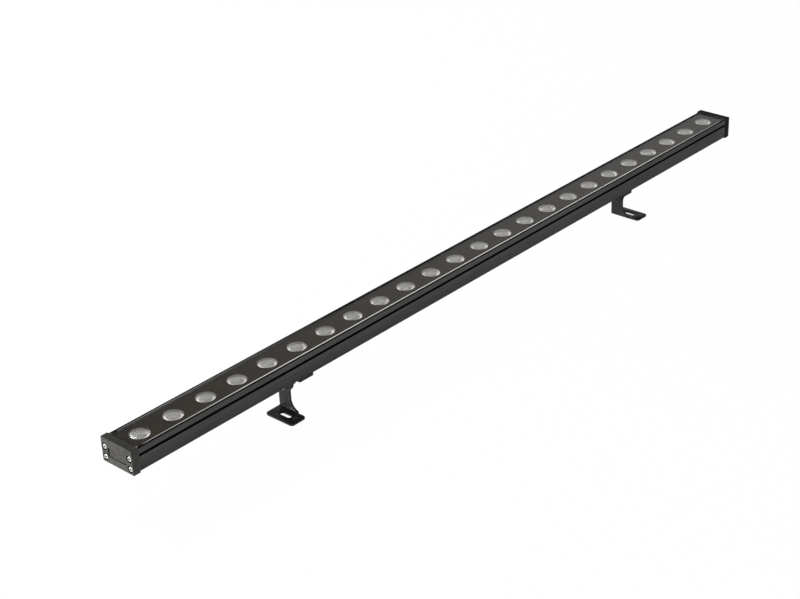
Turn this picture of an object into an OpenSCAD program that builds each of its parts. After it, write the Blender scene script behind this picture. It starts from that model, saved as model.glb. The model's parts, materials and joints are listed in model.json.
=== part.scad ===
// Outdoor wall washer light: a slim extruded bar with a row of lensed lights behind
// a black-printed window, held by two sheet-metal feet.
// The feet's undersides lie on z = 0, the bar runs along X and shines up along +Z.

/* [Light row] */
// Number of lights in the row
led_count = 24; // [16:2:32]
// Distance from one light to the next
led_pitch = 41; // [38:0.5:60]
// Distance from the last light's centre to the end face of the bar
end_margin = 28.5; // [27:0.5:40]
// Diameter of each clear opening in the black print
aperture_d = 20.5; // [16:0.5:21]

/* [Housing] */
// Width of the extruded housing
housing_w = 42.5; // [41:0.5:50]
// Height of the extruded housing
housing_h = 24; // [23.5:0.5:30]
// Thickness of the two side walls
wall_t = 2.6; // [2.4:0.1:3]
// Radius of the housing's long outer edges
housing_r = 0.6; // [0.3:0.1:1]
// Height of the seat for the circuit boards above the underside
floor_t = 6.3; // [6.2:0.1:7]
// Width of the ledge that carries the glass
ledge_w = 3; // [2:0.1:3.5]
// Thickness of the ledge that carries the glass
ledge_t = 2.4; // [1.2:0.1:2.6]
// Distance from the wall top to the middle of the side groove
groove_drop = 7.25; // [6:0.05:9]
// Height of the side groove
groove_h = 1.8; // [1:0.1:2.4]
// Depth of the side groove
groove_d = 1.4; // [0.6:0.1:1.6]
// Width of the closed chamber on each side of the bottom slot
chamber_w = 5.6; // [4:0.1:6]
// Height of the closed chambers
chamber_h = 2.8; // [2:0.1:3]
// Distance from an end screw's axis to the chamber beside it
chamber_gap = 3.4; // [3:0.1:4.4]

/* [Bottom slot] */
// Width of the slot's mouth in the underside
slot_mouth_w = 6.6; // [5:0.1:8]
// Thickness of the lips beside the mouth
slot_lip_t = 1.6; // [1.2:0.1:2]
// Width of the slot behind the lips
slot_w = 11; // [10:0.1:12]
// Height of the slot behind the lips
slot_h = 3.4; // [3.3:0.1:3.6]

/* [Window] */
// Distance from the wall top down to the glass
window_drop = 0.1; // [0.1:0.1:1]
// Thickness of the black print layer
film_t = 0.2; // [0.1:0.05:0.3]
// Bare rim of glass left outside the print
film_inset = 0.9; // [0.3:0.1:1]
// Thickness of the tempered glass
glass_t = 3; // [2.5:0.1:3.5]
// Thickness of the rubber strip under and beside the glass
seal_t = 0.5; // [0.3:0.1:0.8]

/* [End caps] */
// Thickness of an end cap
cap_t = 8.2; // [7:0.1:10]
// Thickness of the gasket behind an end cap
gasket_t = 0.8; // [0.5:0.1:1]
// How far an end cap stands proud of each housing side
cap_proud_w = 0.5; // [0.2:0.05:1]
// How far an end cap stands proud of the housing's top and underside
cap_proud_h = 1.25; // [0.5:0.05:1.5]
// Chamfer round the outer face of an end cap
cap_chamfer = 0.4; // [0.3:0.1:1]
// Width of the shallow panel sunk in the end cap
panel_w = 25.6; // [20:0.2:26]
// Height of the shallow panel
panel_h = 10; // [6:0.2:12]
// Distance from the cap's mid-height down to the panel's middle
panel_drop = 0.5; // [0:0.1:1]
// Depth of the shallow panel
panel_d = 1; // [0.5:0.1:1.5]
// Corner radius of the shallow panel
panel_r = 1.8; // [1:0.1:2.5]

/* [End screws] */
// Distance from the housing side to an end screw's axis
screw_inset = 3.8; // [3.7:0.05:4]
// Height of the lower end screws above the housing underside
screw_low = 4.4; // [4.2:0.1:5]
// Distance from the lower to the upper end screws
screw_rise = 11; // [10:0.1:12]
// Thread diameter of an end screw
screw_d = 3; // [2.5:0.1:3]
// Length of an end screw under its head
screw_len = 16; // [12:1:20]
// Head diameter of an end screw
screw_head_d = 5.5; // [5:0.1:5.8]
// Head height of an end screw
screw_head_h = 3; // [2:0.1:3.5]
// Gap round an end screw's head in its counterbore
screw_head_gap = 0.5; // [0.3:0.1:0.7]
// Hexagon socket of an end screw, across its corners
screw_socket_d = 2.9; // [2.2:0.1:3.2]
// Wall of the tube that takes an upper end screw
port_wall = 1.1; // [0.8:0.1:1.3]

/* [Optics and boards] */
// Diameter of a lens's top disc
lens_d = 22; // [21:0.5:23]
// Thickness of a lens's top disc
lens_rim_t = 1; // [0.8:0.1:1.5]
// Diameter of a lens at its foot
lens_foot_d = 9; // [8:0.5:11]
// Diameter of the hollow in a lens's foot
lens_hollow_d = 5.2; // [4.6:0.1:6]
// Gap between the lens tops and the black print
lens_gap = 0.3; // [0.2:0.05:0.5]
// Wall of the cup that holds a lens
holder_wall = 1.2; // [0.8:0.1:1.6]
// Gap between a circuit board and the ledge on each side, seen from above
board_side_gap = 1.4; // [1:0.1:2]
// Distance from a circuit board to the end of the housing
board_end_gap = 1; // [0.5:0.1:2]
// Thickness of a circuit board
board_t = 1.6; // [1:0.1:1.6]
// Gap between the two boards at mid-length
board_gap = 4; // [3:0.5:5]
// Thickness of the heat pad under the boards
pad_t = 0.3; // [0.2:0.05:0.5]
// Width of an LED package
led_w = 3.5; // [3:0.1:3.6]
// Height of an LED package
led_h = 0.8; // [0.6:0.1:1]
// Diameter of an LED's clear dome
led_dome_d = 2.8; // [2:0.1:3]
// Thread diameter of a board screw
board_screw_d = 2.5; // [2:0.1:3]
// Length of a board screw under its head
board_screw_len = 5; // [4.5:0.1:5.5]
// Head diameter of a board screw
board_screw_head_d = 4.6; // [4:0.1:5]
// Head height of a board screw
board_screw_head_h = 1.7; // [1.2:0.1:2]
// Distance from a circuit board's long edge to the board screws
board_screw_edge = 3.2; // [2.8:0.1:3.6]

/* [Cable gland] */
// Thread diameter of the gland
gland_d = 12; // [10:0.5:12.5]
// Gland hexagon, across its corners
gland_hex_d = 16.2; // [15.5:0.1:17]
// Thickness of the gland's hexagon flange
gland_flange_t = 3; // [2.5:0.1:4]
// Length of the collar inside the gland nut
gland_collar_l = 5; // [4:0.1:6]
// Diameter of that collar
gland_collar_d = 11; // [10:0.1:11.4]
// Diameter of the rubber insert
gland_seal_d = 8.8; // [8:0.1:9.2]
// Diameter of the cable hole in the rubber insert
cable_d = 5.2; // [4:0.1:6]
// Length of the gland nut
gland_nut_l = 8; // [7:0.1:10]
// Thickness of the rubber ring under the gland flange
gland_ring_t = 0.6; // [0.4:0.1:0.8]
// Wall round the cable at the gland nut's tip
gland_nut_wall = 1.2; // [0.8:0.1:1.6]

/* [Brackets] */
// Distance from the bar's end face to a bracket's joint plane
bracket_inset = 214.5; // [150:0.5:240]
// Height of the pivot above the mounting surface
pivot_h = 29.7; // [27:0.1:34]
// Distance from the pivot up to the housing underside
pivot_drop = 10.8; // [10.5:0.1:14]
// Sheet thickness of a foot
foot_t = 2; // [2:0.1:3]
// Length of a foot's base along the bar
base_l = 22.5; // [20:0.5:30]
// How far the front part of a foot's base stays behind the joint plane
base_shoulder = 2.3; // [2:0.1:2.8]
// Reach of a foot's base to the front of the bar's middle
base_front = 29; // [26:0.5:36]
// Corner radius of a foot's base
base_r = 3.5; // [2:0.1:5]
// Radius of a foot's round head, and reach of its back edge
head_r = 9; // [9:0.1:9.8]
// Reach of the neck to the front of the bar's middle
neck_front = 6.9; // [6.5:0.1:8]
// Radius of the concave flare from the neck to the base
flare_r = 12.5; // [12.5:0.5:17]
// Height at which the flare starts
flare_h = 14.2; // [12:0.1:14.4]
// Radius of the fillet between the neck and the head
neck_r = 8; // [5:0.5:9]
// Inside radius of the bends
bend_r = 0.8; // [0.8:0.1:2]
// Width of the fixing slot in a foot's base
foot_slot_w = 5.5; // [4.5:0.1:6.5]
// Length of the fixing slot in a foot's base
foot_slot_l = 15; // [12:0.5:20]

/* [Clamps] */
// Sheet thickness of a clamp
clamp_t = 3; // [2:0.1:3.2]
// Length of a clamp along the bar
clamp_l = 20; // [18:0.5:26]
// How far a clamp stays inside each housing side
clamp_inset = 0.2; // [0:0.1:2]
// Radius of a clamp's round lug
lug_r = 8.5; // [7:0.1:9]
// Corner radius of a clamp's plate
clamp_r = 1.5; // [1:0.1:3]
// Thread diameter of the clamp screws
clamp_screw_d = 4; // [3:0.1:4]
// Head diameter of the countersunk clamp screws
clamp_screw_head_d = 7.4; // [6.4:0.1:7.6]
// Distance from a clamp screw to the next
clamp_screw_gap = 8; // [7.8:0.1:9]
// Thickness of the bar nut in the bottom slot
slot_nut_t = 3; // [2.4:0.1:3.1]
// Length of the bar nut in the bottom slot
slot_nut_l = 18; // [16:0.5:24]

/* [Pivot hardware] */
// Thread diameter of a pivot bolt
bolt_d = 6; // [5:0.1:6]
// Length of a pivot bolt under its head
bolt_len = 25; // [20:1:30]
// Bolt head and nut hexagon, across the corners
bolt_hex_d = 11; // [9:0.1:11.6]
// Height of a bolt head
bolt_head_h = 4; // [3:0.1:5]
// Height of a pivot nut
bolt_nut_h = 5; // [4:0.1:6]
// Diameter of the flat washer
washer_d = 12; // [11.5:0.1:13]
// Thickness of the flat washer
washer_t = 1; // [0.8:0.1:1.6]
// Diameter of the split lock washer
lock_d = 10.4; // [9.5:0.1:11]
// Thickness of the split lock washer
lock_t = 1.6; // [1:0.1:2]
// Width of the split in the lock washer
lock_split = 1.2; // [0.8:0.1:2]

/* [Fits] */
// Clearance round a shaft in its hole, and between turning faces
fit = 0.05; // [0.02:0.01:0.09]
// Clearance between sliding faces
slide_fit = 0.1; // [0.05:0.01:0.2]
// Clearance beside the bar nut and round loose parts
loose_fit = 0.3; // [0.2:0.05:0.5]

/* [Hidden] */
$fn = 64;

// Driver parts on each board, in the boards' gaps between lights
chip_l = 4.9;
chip_w = 6;
chip_h = 1.6;
chip_y = 6.4;
coil_d = 6;
coil_h = 3;
link_r = 3.6;
link_wire_r = 0.6;
link_y = 4;
terminal_l = 8;
terminal_w = 10;
terminal_h = 6.5;
terminal_hole_d = 2.4;
// Stations between lights, counted in pitches from a board's middle
screw_stations_share = [-5, 0, 5];
chip_stations_share = [-3, -1, 1, 3];
terminal_station_share = 5;

// One overrun for all cuts
over = 1;

// Length of the whole bar and of the housing between the gaskets
lamp_len = (led_count - 1) * led_pitch + 2 * end_margin;
housing_len = lamp_len - 2 * (cap_t + gasket_t);
cap_w = housing_w + 2 * cap_proud_w;
cap_h = housing_h + 2 * cap_proud_h;
inner_w = housing_w - 2 * wall_t;

// Heights above the housing underside
seat_z = housing_h - window_drop - glass_t - film_t - seal_t;
film_z = seat_z + seal_t;
glass_z = film_z + film_t;
board_z = floor_t + pad_t;
board_top = board_z + board_t;
lens_top = film_z - lens_gap;
lens_rim_z = lens_top - lens_rim_t;
screw_high = screw_low + screw_rise;
gland_z = housing_h / 2;

// Widths and lengths of the inner parts
glass_w = inner_w - 2 * seal_t;
film_w = glass_w - 2 * film_inset;
board_span = led_count / 2 * led_pitch;
board_len = (housing_len - board_gap) / 2 - board_end_gap;
board_w = inner_w - 2 * (ledge_w + board_side_gap);
board_screw_y = board_w / 2 - board_screw_edge;
holder_d = lens_d + 2 * holder_wall;
screw_y = housing_w / 2 - screw_inset;
chamber_y = screw_y - chamber_gap - chamber_w / 2;
port_d = screw_d + 2 * fit;
port_r = port_d / 2 + port_wall;
counterbore_d = screw_head_d + 2 * screw_head_gap;
counterbore_h = screw_head_h + loose_fit;

// Gland stations, counted outwards from the panel floor of the right end cap
gland_nut_start = gland_ring_t + gland_flange_t + fit;
gland_nut_end = gland_nut_start + gland_nut_l;
gland_reach = gland_nut_end - panel_d;

// Bracket places, in a frame whose x = 0 is the joint plane of the left bracket
bracket_x = lamp_len / 2 - bracket_inset;
housing_z = pivot_h + pivot_drop;
slot_nut_w = slot_w - 2 * loose_fit;
clamp_top = pivot_drop - slide_fit;
clamp_w = housing_w - 2 * clamp_inset;
foot_slot_x = (base_l + foot_t) / 2;
foot_mid_y = (head_r - base_front) / 2;
lug_x = fit;
flat_washer_x = lug_x + clamp_t;
lock_washer_x = flat_washer_x + washer_t;
nut_x = lock_washer_x + lock_t;
bolt_head_x = -foot_t - fit;
clamp_screw_x = clamp_t + bend_r + (clamp_l - clamp_t - bend_r) / 2;

// Centre of the concave flare, and the place where it meets the base's upper face
flare_y = neck_front + flare_r;
bend_front = flare_y - sqrt(pow(flare_r, 2) - pow(flare_h - foot_t, 2));

// Fillet between the neck and the round head
neck_fillet_y = neck_front + neck_r;
neck_fillet_z = pivot_h - sqrt(pow(head_r + neck_r, 2) - pow(neck_fillet_y, 2));
neck_touch_y = neck_fillet_y * head_r / (head_r + neck_r);
neck_touch_z = pivot_h - (pivot_h - neck_fillet_z) * head_r / (head_r + neck_r);

// Place of the bar, so that the middle of the whole part's box is at x = 0, y = 0
lamp_x = -gland_reach / 2;
lamp_y = (base_front - cap_w / 2) / 2;

// Colours
black = [0.13, 0.13, 0.14];
dark = [0.2, 0.2, 0.21];
steel = [0.8, 0.8, 0.82];

// Moves to the middle of the bar, at the housing underside
module at_bar() {
    translate([lamp_x, lamp_y, housing_z]) children();
}

// Turns a piece drawn upwards along Z to lie along X
module along_x() {
    rotate([90, 0, 90]) children();
}

// Moves to each light
module at_lights() {
    for (i = [0 : led_count - 1])
        translate([(i - (led_count - 1) / 2) * led_pitch, 0, 0]) children();
}

// Moves to the given stations on both boards
module at_stations(stations_share) {
    for (board = [-1, 1], station = stations_share)
        translate([board * board_span / 2 + station * led_pitch, 0, board_top]) children();
}

// Moves to the left bracket's joint plane, or mirrors it to the right one
module at_bracket(side) {
    translate([lamp_x, lamp_y, 0])
        mirror([side > 0 ? 1 : 0, 0, 0])
            translate([-bracket_x, 0, 0]) children();
}

// Moves a piece drawn outwards along +X to one end of the housing
module at_end(side) {
    at_bar()
        mirror([side < 0 ? 1 : 0, 0, 0])
            translate([housing_len / 2, 0, 0]) children();
}

// Moves to each of the four end screws, on an end's own plane
module at_end_screws() {
    for (y = [-screw_y, screw_y], z = [screw_low, screw_high])
        translate([0, y, z]) children();
}

// A rectangle with round corners, centred on its own middle
module round_rect(size_x, size_y, r) {
    square([size_x, size_y - 2 * r], center = true);
    square([size_x - 2 * r, size_y], center = true);
    for (x = [-1, 1], y = [-1, 1])
        translate([x * (size_x / 2 - r), y * (size_y / 2 - r)]) circle(r);
}

// A slot with round ends, centred on its own middle, long along Y
module stadium(width, reach) {
    square([width, reach - width], center = true);
    for (end = [-1, 1]) translate([0, end * (reach - width) / 2]) circle(d = width);
}

// Section of the extruded housing, y across and z up from the underside
module housing_section() {
    difference() {
        translate([0, housing_h / 2]) round_rect(housing_w, housing_h, housing_r);
        // Room for the glass and its seal
        translate([-inner_w / 2, seat_z]) square([inner_w, housing_h - seat_z + over]);
        // Opening between the ledges
        translate([-inner_w / 2 + ledge_w, floor_t])
            square([inner_w - 2 * ledge_w, housing_h]);
        // Room under the ledges, round the tubes for the upper screws
        difference() {
            translate([-inner_w / 2, floor_t])
                square([inner_w, seat_z - ledge_t - floor_t]);
            for (y = [-screw_y, screw_y]) translate([y, screw_high]) circle(port_r);
        }
        // Holes for the end screws
        for (y = [-screw_y, screw_y], z = [screw_low, screw_high])
            translate([y, z]) circle(d = port_d);
        // Bottom slot
        translate([-slot_mouth_w / 2, -over]) square([slot_mouth_w, slot_lip_t + 2 * over]);
        translate([-slot_w / 2, slot_lip_t]) square([slot_w, slot_h]);
        // Closed chambers
        for (side = [-1, 1])
            translate([side * chamber_y - chamber_w / 2, slot_lip_t])
                square([chamber_w, chamber_h]);
        // Side grooves
        for (side = [-1, 1])
            translate([side * housing_w / 2, housing_h - groove_drop])
                square([2 * groove_d, groove_h], center = true);
    }
}

module housing() {
    color(dark) at_bar() difference() {
        translate([-housing_len / 2, 0, 0])
            along_x() linear_extrude(housing_len) housing_section();
        // Tapped holes for the board screws, down into the chambers
        at_board_screws()
            translate([0, 0, slot_lip_t + chamber_h / 2 - board_top])
                cylinder(d = board_screw_d + 2 * fit, h = floor_t);
    }
}

module mask_film() {
    color(black) at_bar() translate([0, 0, film_z])
        linear_extrude(film_t) difference() {
            square([housing_len - 2 * seal_t - 2 * film_inset, film_w], center = true);
            at_lights() circle(d = aperture_d);
        }
}

module glass_cover() {
    color([0.75, 0.85, 0.85, 0.4]) at_bar()
        translate([-housing_len / 2 + seal_t, -glass_w / 2, glass_z])
            cube([housing_len - 2 * seal_t, glass_w, glass_t]);
}

module glass_seals() {
    color(black) at_bar() for (side = [0, 1]) mirror([0, side, 0])
        translate([-housing_len / 2, 0, 0]) along_x() linear_extrude(housing_len)
            polygon([
                [inner_w / 2 - ledge_w, seat_z],
                [inner_w / 2, seat_z],
                [inner_w / 2, glass_z + glass_t],
                [glass_w / 2, glass_z + glass_t],
                [glass_w / 2, film_z],
                [inner_w / 2 - ledge_w, film_z]
            ]);
}

// Half outline of a lens: flat top, rim, conical side and a hollow over the LED
module lens_outline() {
    hollow_top = board_top + (lens_rim_z - board_top) / 3;
    foot_z = board_top + led_h;
    polygon([
        [0, hollow_top],
        [lens_hollow_d / 4, hollow_top],
        [lens_hollow_d / 2, hollow_top - lens_hollow_d / 4],
        [lens_hollow_d / 2, foot_z],
        [lens_foot_d / 2, foot_z],
        [lens_d / 2 - lens_rim_t, lens_rim_z],
        [lens_d / 2, lens_rim_z],
        [lens_d / 2, lens_top],
        [0, lens_top]
    ]);
}

module lenses() {
    color([0.85, 0.88, 0.9, 0.7]) at_bar() at_lights()
        rotate_extrude($fn = 48) lens_outline();
}

module lens_holders() {
    color("white") at_bar() at_lights() rotate_extrude($fn = 48) polygon([
        [lens_d / 2 - lens_rim_t, board_top],
        [holder_d / 2, board_top],
        [holder_d / 2, lens_top],
        [lens_d / 2 + fit, lens_top],
        [lens_d / 2 + fit, lens_rim_z],
        [lens_d / 2 - lens_rim_t, lens_rim_z]
    ]);
}

module leds() {
    color("khaki") at_bar() at_lights() translate([0, 0, board_top]) {
        translate([-led_w / 2, -led_w / 2, 0]) cube([led_w, led_w, led_h]);
        intersection() {
            translate([0, 0, led_h]) sphere(d = led_dome_d);
            translate([-led_w / 2, -led_w / 2, 0]) cube([led_w, led_w, led_h + led_dome_d]);
        }
    }
}

module at_board_screws() {
    at_stations(screw_stations_share)
        for (side = [-1, 1]) translate([0, side * board_screw_y, 0]) children();
}

// Moves to the corner of each board's place, at the given height
module at_boards(height) {
    for (start = [-board_gap / 2 - board_len, board_gap / 2])
        translate([start, -board_w / 2, height]) children();
}

module circuit_boards() {
    color("whitesmoke") at_bar() difference() {
        at_boards(board_z) cube([board_len, board_w, board_t]);
        at_board_screws() translate([0, 0, -board_t - over])
            cylinder(d = board_screw_d + 2 * fit, h = board_t + 2 * over);
    }
}

module thermal_pads() {
    color("lightblue") at_bar() difference() {
        at_boards(floor_t) cube([board_len, board_w, pad_t]);
        at_board_screws() translate([0, 0, -board_t - pad_t - over])
            cylinder(d = board_screw_d + 2 * fit, h = board_t + pad_t + over);
    }
}

module board_screws() {
    color(steel) at_bar() at_board_screws() {
        cylinder(d = board_screw_head_d, h = board_screw_head_h);
        translate([0, 0, -board_screw_len])
            cylinder(d = board_screw_d, h = board_screw_len);
    }
}

module driver_chips() {
    color(black) at_bar() at_stations(chip_stations_share)
        translate([-chip_l / 2, -chip_y - chip_w / 2, 0]) cube([chip_l, chip_w, chip_h]);
}

module inductors() {
    color("dimgray") at_bar() at_stations(chip_stations_share)
        translate([0, chip_y, 0]) cylinder(d = coil_d, h = coil_h);
}

// Wire loops that carry the supply from one board to the other
module board_links() {
    color("tomato") at_bar() for (side = [-1, 1])
        translate([0, side * link_y, board_top])
            rotate([90, 0, 0]) rotate_extrude(angle = 180) translate([link_r, 0])
                circle(link_wire_r, $fn = 24);
}

module input_terminal() {
    color("seagreen") at_bar()
        translate([board_span / 2 + terminal_station_share * led_pitch, 0, board_top])
            difference() {
                translate([-terminal_l / 2, -terminal_w / 2, 0])
                    cube([terminal_l, terminal_w, terminal_h]);
                for (side = [-1, 1])
                    translate([0, side * terminal_w / 4, terminal_h / 2]) rotate([0, 90, 0])
                        cylinder(d = terminal_hole_d, h = terminal_l);
            }
}

// End cap drawn outwards from its inner face, at the height of the housing underside
module end_cap() {
    mid_z = housing_h / 2;
    difference() {
        intersection() {
            translate([0, 0, -cap_proud_h]) linear_extrude(cap_h) polygon([
                [0, -cap_w / 2], [cap_t - cap_chamfer, -cap_w / 2],
                [cap_t, -cap_w / 2 + cap_chamfer], [cap_t, cap_w / 2 - cap_chamfer],
                [cap_t - cap_chamfer, cap_w / 2], [0, cap_w / 2]
            ]);
            translate([0, cap_w / 2, mid_z]) rotate([90, 0, 0]) linear_extrude(cap_w)
                polygon([
                    [0, -cap_h / 2], [cap_t - cap_chamfer, -cap_h / 2],
                    [cap_t, -cap_h / 2 + cap_chamfer], [cap_t, cap_h / 2 - cap_chamfer],
                    [cap_t - cap_chamfer, cap_h / 2], [0, cap_h / 2]
                ]);
            translate([0, 0, mid_z]) along_x() linear_extrude(cap_t)
                round_rect(cap_w, cap_h, cap_chamfer);
        }
        translate([cap_t - panel_d, 0, mid_z - panel_drop]) along_x()
            linear_extrude(panel_d + over) round_rect(panel_w, panel_h, panel_r);
        at_end_screws() {
            translate([-over, 0, 0]) along_x()
                cylinder(d = screw_d + 2 * loose_fit, h = cap_t + 2 * over);
            translate([cap_t - counterbore_h, 0, 0]) along_x()
                cylinder(d = counterbore_d, h = counterbore_h + over);
        }
    }
}

// Flat gasket, open over the housing's inside
module end_gasket() {
    along_x() linear_extrude(gasket_t) difference() {
        translate([0, housing_h / 2]) round_rect(housing_w, housing_h, housing_r);
        translate([-board_w / 2, floor_t]) square([board_w, seat_z - ledge_t - floor_t]);
        for (y = [-screw_y, screw_y], z = [screw_low, screw_high])
            translate([y, z]) circle(d = port_d);
    }
}

module end_screws() {
    at_end_screws() translate([gasket_t + cap_t - counterbore_h, 0, 0]) along_x()
        difference() {
            union() {
                cylinder(d = screw_head_d, h = screw_head_h);
                translate([0, 0, -screw_len]) cylinder(d = screw_d, h = screw_len);
            }
            translate([0, 0, screw_head_h / 2])
                cylinder(d = screw_socket_d, h = screw_head_h, $fn = 6);
        }
}

module left_end_cap() {
    color(dark) at_end(-1) translate([gasket_t, 0, 0]) end_cap();
}

module left_end_gasket() {
    color(black) at_end(-1) end_gasket();
}

module left_end_screws() {
    color(steel) at_end(-1) end_screws();
}

module right_end_cap() {
    color(dark) at_end(1) translate([gasket_t, 0, 0]) difference() {
        end_cap();
        translate([-over, 0, gland_z]) along_x()
            cylinder(d = gland_d + 2 * fit, h = cap_t + 2 * over);
        // Flat seat for the gland, level with the panel
        translate([cap_t - panel_d, 0, gland_z]) along_x()
            cylinder(d = gland_hex_d + 2 * loose_fit, h = panel_d + over);
    }
}

module right_end_gasket() {
    color(black) at_end(1) end_gasket();
}

module right_end_screws() {
    color(steel) at_end(1) end_screws();
}

// Moves to the panel floor of the right end cap, on the gland's axis
module at_gland() {
    at_end(1) translate([gasket_t + cap_t - panel_d, 0, gland_z]) along_x() children();
}

module gland_body() {
    color(steel) at_gland() difference() {
        union() {
            translate([0, 0, -(cap_t - panel_d)])
                cylinder(d = gland_d, h = cap_t - panel_d + gland_ring_t);
            translate([0, 0, gland_ring_t])
                cylinder(d = gland_hex_d, h = gland_flange_t, $fn = 6);
            translate([0, 0, gland_ring_t])
                cylinder(d = gland_collar_d, h = gland_flange_t + gland_collar_l);
        }
        translate([0, 0, -cap_t]) cylinder(d = cable_d + 2 * loose_fit, h = 2 * cap_t);
        translate([0, 0, gland_ring_t + gland_flange_t])
            cylinder(d = gland_seal_d + 2 * fit, h = gland_collar_l + over);
    }
}

module gland_ring() {
    color(black) at_gland() difference() {
        cylinder(d = (gland_d + gland_hex_d) / 2, h = gland_ring_t);
        translate([0, 0, -over]) cylinder(d = gland_d + 2 * fit, h = gland_ring_t + 2 * over);
    }
}

module gland_seal() {
    color(black) at_gland() translate([0, 0, gland_ring_t + gland_flange_t]) difference() {
        cylinder(d = gland_seal_d, h = gland_collar_l);
        translate([0, 0, -over]) cylinder(d = cable_d, h = gland_collar_l + 2 * over);
    }
}

module gland_nut() {
    color(steel) at_gland() translate([0, 0, gland_nut_start]) difference() {
        intersection() {
            cylinder(d = gland_hex_d, h = gland_nut_l, $fn = 6);
            rotate_extrude() polygon([
                [0, 0], [gland_hex_d / 2, 0], [gland_hex_d / 2, gland_nut_l / 2],
                [cable_d / 2 + gland_nut_wall, gland_nut_l], [0, gland_nut_l]
            ]);
        }
        translate([0, 0, -over])
            cylinder(d = gland_collar_d + 2 * fit, h = gland_collar_l + fit + over);
        cylinder(d = cable_d + 2 * loose_fit, h = gland_nut_l + over);
    }
}

// Quarter bend about the Y axis: from a sheet in the x = 0 plane to one below it
module bend(sheet_t, width_y) {
    translate([0, width_y / 2, 0]) rotate([90, 0, 0]) linear_extrude(width_y)
        intersection() {
            difference() {
                circle(bend_r + sheet_t);
                circle(bend_r);
            }
            square(bend_r + sheet_t);
        }
}

// Upright of the foot, seen along X: a neck with a round head and a widening root
module upright_outline(root_z) {
    translate([0, pivot_h]) circle(head_r);
    translate([-bend_front, root_z]) square([bend_front + head_r, flare_h - root_z]);
    translate([-neck_front, root_z]) square([neck_front + head_r, pivot_h - root_z]);
    difference() {
        translate([-neck_touch_y, neck_fillet_z])
            square([neck_touch_y, neck_touch_z - neck_fillet_z]);
        translate([-neck_fillet_y, neck_fillet_z]) circle(neck_r);
    }
}

// Foot: a base on the mounting surface, a bend and an upright
module foot() {
    turn = bend_r + foot_t;
    // Base, less the strip where the bend takes over
    linear_extrude(foot_t) difference() {
        union() {
            translate([-(base_l + base_shoulder) / 2, foot_mid_y])
                round_rect(base_l - base_shoulder, head_r + base_front, base_r);
            translate([-base_l / 2, -bend_front]) square([base_l / 2, bend_front + head_r]);
        }
        translate([-turn, -bend_front]) square([turn + over, bend_front + 2 * head_r]);
        translate([-foot_slot_x, foot_mid_y]) stadium(foot_slot_w, foot_slot_l);
    }
    difference() {
        union() {
            translate([-turn, (head_r - bend_front) / 2, turn])
                mirror([0, 0, 1]) bend(foot_t, head_r + bend_front);
            translate([-foot_t, 0, 0]) along_x() linear_extrude(foot_t) upright_outline(turn);
        }
        // Concave flare
        translate([-turn - over, -flare_y, flare_h]) along_x()
            cylinder(r = flare_r, h = turn + 2 * over);
        // Pivot hole
        translate([-foot_t - over, 0, pivot_h]) along_x()
            cylinder(d = bolt_d + 2 * fit, h = foot_t + 2 * over);
    }
}

// Moves to the two clamp screws, from a bracket's joint plane
module at_clamp_screws() {
    for (side = [-1, 1])
        translate([clamp_screw_x + side * clamp_screw_gap / 2, 0, pivot_h + clamp_top])
            children();
}

// Clamp: a plate under the housing, a bend and a round lug at the pivot
module clamp() {
    turn = bend_r + clamp_t;
    top = pivot_h + clamp_top;
    translate([lug_x, 0, 0]) difference() {
        union() {
            translate([0, 0, top - clamp_t]) linear_extrude(clamp_t) difference() {
                translate([clamp_l / 2, 0]) round_rect(clamp_l, clamp_w, clamp_r);
                translate([-over, -lug_r]) square([turn + over, 2 * lug_r]);
            }
            translate([turn, 0, top - turn]) mirror([1, 0, 0]) bend(clamp_t, 2 * lug_r);
            along_x() linear_extrude(clamp_t) {
                translate([0, pivot_h]) circle(lug_r);
                translate([-lug_r, pivot_h]) square([2 * lug_r, clamp_top - turn]);
            }
        }
        translate([-over, 0, pivot_h]) along_x()
            cylinder(d = bolt_d + 2 * fit, h = clamp_t + 2 * over);
        translate([-lug_x, 0, 0]) at_clamp_screws() clamp_screw_cut();
    }
}

// Room for one countersunk screw, from the plate's underside upwards
module clamp_screw_cut() {
    translate([0, 0, -clamp_t - over])
        cylinder(d = clamp_screw_d + 2 * fit, h = clamp_t + 2 * over);
    translate([0, 0, -clamp_t]) rotate_extrude() polygon([
        [0, -over], [clamp_screw_head_d / 2 + fit, -over],
        [clamp_screw_head_d / 2 + fit, 0],
        [clamp_screw_d / 2 + fit, (clamp_screw_head_d - clamp_screw_d) / 2], [0, 0]
    ]);
}

module slot_nut() {
    translate([clamp_screw_x, 0, housing_z + slot_lip_t + slide_fit]) difference() {
        translate([-slot_nut_l / 2, -slot_nut_w / 2, 0])
            cube([slot_nut_l, slot_nut_w, slot_nut_t]);
        for (side = [-1, 1]) translate([side * clamp_screw_gap / 2, 0, -over])
            cylinder(d = clamp_screw_d + 2 * fit, h = slot_nut_t + 2 * over);
    }
}

module clamp_screws() {
    shank_top = slide_fit + slot_lip_t + slide_fit + slot_nut_t;
    at_clamp_screws() rotate_extrude() polygon([
        [0, -clamp_t], [clamp_screw_head_d / 2, -clamp_t],
        [clamp_screw_d / 2, (clamp_screw_head_d - clamp_screw_d) / 2 - clamp_t],
        [clamp_screw_d / 2, shank_top], [0, shank_top]
    ]);
}

module pivot_bolt() {
    translate([bolt_head_x, 0, pivot_h]) along_x() {
        translate([0, 0, -bolt_head_h]) cylinder(d = bolt_hex_d, h = bolt_head_h, $fn = 6);
        cylinder(d = bolt_d, h = bolt_len);
    }
}

// A ring on the pivot axis, starting at the given place
module pivot_ring(start_x, outer_d, thickness) {
    translate([start_x, 0, pivot_h]) along_x() difference() {
        cylinder(d = outer_d, h = thickness);
        translate([0, 0, -over])
            cylinder(d = bolt_d + 2 * fit, h = thickness + 2 * over);
    }
}

module flat_washer() {
    pivot_ring(flat_washer_x, washer_d, washer_t);
}

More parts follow.
